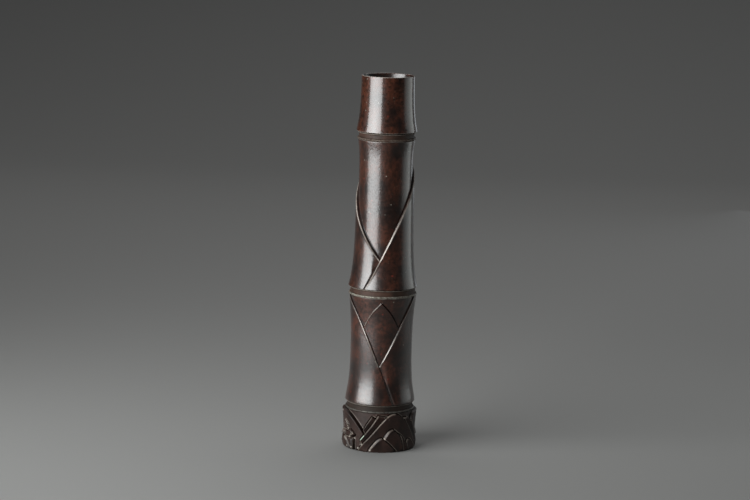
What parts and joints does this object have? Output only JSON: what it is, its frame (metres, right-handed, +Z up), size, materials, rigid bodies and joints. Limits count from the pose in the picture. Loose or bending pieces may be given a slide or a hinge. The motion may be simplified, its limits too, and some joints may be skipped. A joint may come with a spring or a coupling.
{
  "type": "flower vase",
  "caption": "Slender bronze flower vase in the form of a bamboo culm, with internodes joined at ringed nodes, lapped culm sheaths and a round foot carved with hills.",
  "frame": {"origin": "centre of the foot's resting face, on the floor", "axes": "+Z up along the vase, -Y the front where the sheaths lap, +X to the right seen from the front"},
  "size_m": [0.06, 0.06, 0.3],
  "materials": {
    "culm_bronze": "cast bronze, burnished, with a glossy red-brown to black patina",
    "sheath_bronze": "cast bronze, burnished, with a glossy mottled brown patina",
    "collar_bronze": "cast bronze, dark patina with pale worn solder seams",
    "foot_bronze": "cast and chased bronze, dark semi-matte patina with pale worn edges",
    "plate_bronze": "sheet bronze, dull brown patina"
  },
  "bodies": {
    "root": {"mouth_section": "culm_bronze", "upper_node_collar": "collar_bronze", "middle_culm": "culm_bronze", "middle_sheath": "sheath_bronze", "middle_node_collar": "collar_bronze", "lower_culm": "culm_bronze", "lower_sheath": "sheath_bronze", "lower_leaf_tip": "sheath_bronze", "lower_node_collar": "collar_bronze", "foot_drum": "foot_bronze", "base_plate": "plate_bronze"}
  },
  "joints": []
}
